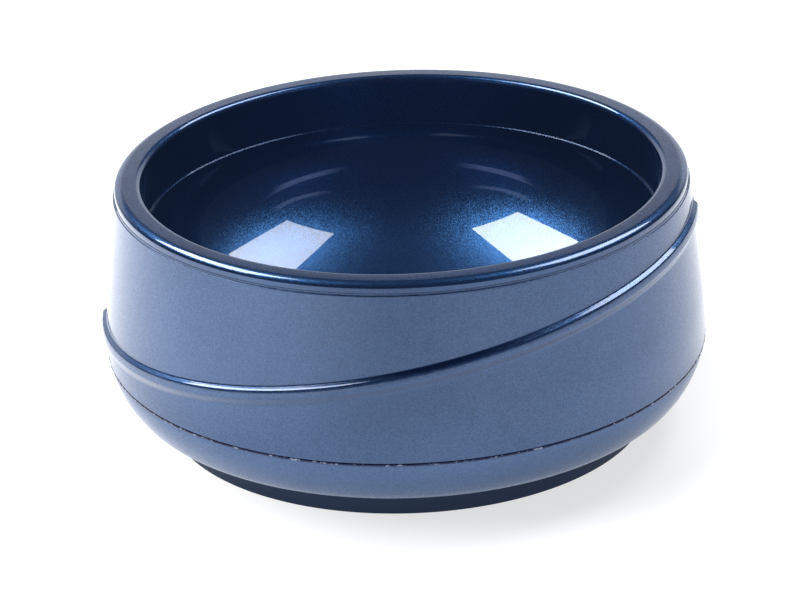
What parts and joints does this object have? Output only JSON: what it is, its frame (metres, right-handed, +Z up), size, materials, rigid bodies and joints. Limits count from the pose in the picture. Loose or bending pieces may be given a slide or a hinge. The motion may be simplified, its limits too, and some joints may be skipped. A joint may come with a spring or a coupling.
{
  "type": "insulated bowl",
  "caption": "Double-walled round food bowl in pearlescent blue plastic, with a flat rim, a lid ledge inside, a raised band rising across the shell and a low foot ring.",
  "frame": {"origin": "centre of the face that the foot ring stands on", "axes": "+Z up along the bowl's axis; +X towards the highest point of the raised band; -Y towards the front, which carries the band"},
  "size_m": [0.1286, 0.1276, 0.055],
  "materials": {
    "inner_plastic": "dark navy pearlescent, high gloss",
    "shell_plastic": "metallic blue pearlescent, satin",
    "base_plastic": "metallic blue pearlescent, satin",
    "foam": "rigid polyurethane foam",
    "weld_plastic": "remelted blue plastic"
  },
  "bodies": {
    "root": {"inner_bowl": "inner_plastic", "outer_shell": "shell_plastic", "base_cap": "base_plastic", "foam_core": "foam", "rim_weld": "weld_plastic", "base_weld": "weld_plastic"}
  },
  "joints": []
}
